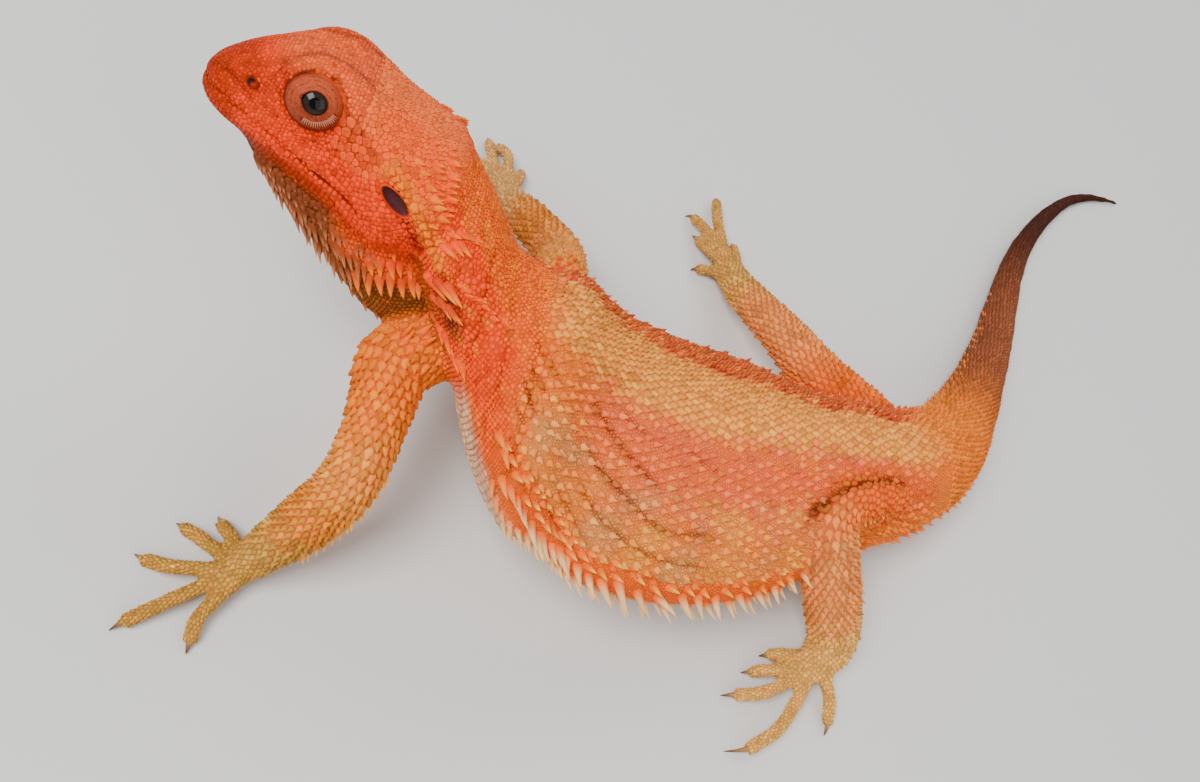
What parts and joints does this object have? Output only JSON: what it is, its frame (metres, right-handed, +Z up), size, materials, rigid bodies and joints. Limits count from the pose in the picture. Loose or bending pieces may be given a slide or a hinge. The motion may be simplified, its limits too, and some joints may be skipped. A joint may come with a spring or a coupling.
{
  "type": "bearded dragon model",
  "caption": "Life-size still model of an adult bearded dragon at rest, chest and head raised, with beard, side fringe, claws and curved tail.",
  "frame": {"origin": "centre of the bounding box on the floor", "axes": "+Z up; the tail reaches out along +Y and the head looks along -X"},
  "size_m": [0.2318, 0.3556, 0.0951],
  "materials": {
    "head_skin": "matt scaly skin, orange-red",
    "lower_jaw_skin": "matt scaly skin, orange-brown",
    "beard_skin": "matt spiny skin, brown-grey",
    "neck_skin": "matt scaly skin, orange",
    "trunk_skin": "matt scaly skin, orange with olive and yellow markings",
    "tail_skin": "matt keeled scales, brown",
    "limb_skin": "matt keeled scales, orange to tan",
    "foot_skin": "matt fine scales, pale yellow-olive",
    "claw_horn": "polished olive-brown horn",
    "eye": "wet glossy near-black"
  },
  "bodies": {
    "root": {"head": "head_skin", "lower_jaw": "lower_jaw_skin", "beard": "beard_skin", "neck": "neck_skin", "torso": "trunk_skin", "tail_base": "tail_skin", "tail_mid": "tail_skin", "tail_end": "tail_skin", "tail_tip": "tail_skin", "eye_left": "eye", "eye_right": "eye", "upper_arm_left": "limb_skin", "forearm_left": "limb_skin", "hand_left": "foot_skin", "thigh_left": "limb_skin", "shin_left": "limb_skin", "foot_left": "foot_skin", "hand_left_claw_1": "claw_horn", "hand_left_claw_2": "claw_horn", "hand_left_claw_3": "claw_horn", "hand_left_claw_4": "claw_horn", "hand_left_claw_5": "claw_horn", "foot_left_claw_1": "claw_horn", "foot_left_claw_2": "claw_horn", "foot_left_claw_3": "claw_horn", "foot_left_claw_4": "claw_horn", "foot_left_claw_5": "claw_horn", "upper_arm_right": "limb_skin", "forearm_right": "limb_skin", "hand_right": "foot_skin", "thigh_right": "limb_skin", "shin_right": "limb_skin", "foot_right": "foot_skin", "hand_right_claw_1": "claw_horn", "hand_right_claw_2": "claw_horn", "hand_right_claw_3": "claw_horn", "hand_right_claw_4": "claw_horn", "hand_right_claw_5": "claw_horn", "foot_right_claw_1": "claw_horn", "foot_right_claw_2": "claw_horn", "foot_right_claw_3": "claw_horn", "foot_right_claw_4": "claw_horn", "foot_right_claw_5": "claw_horn"}
  },
  "joints": []
}
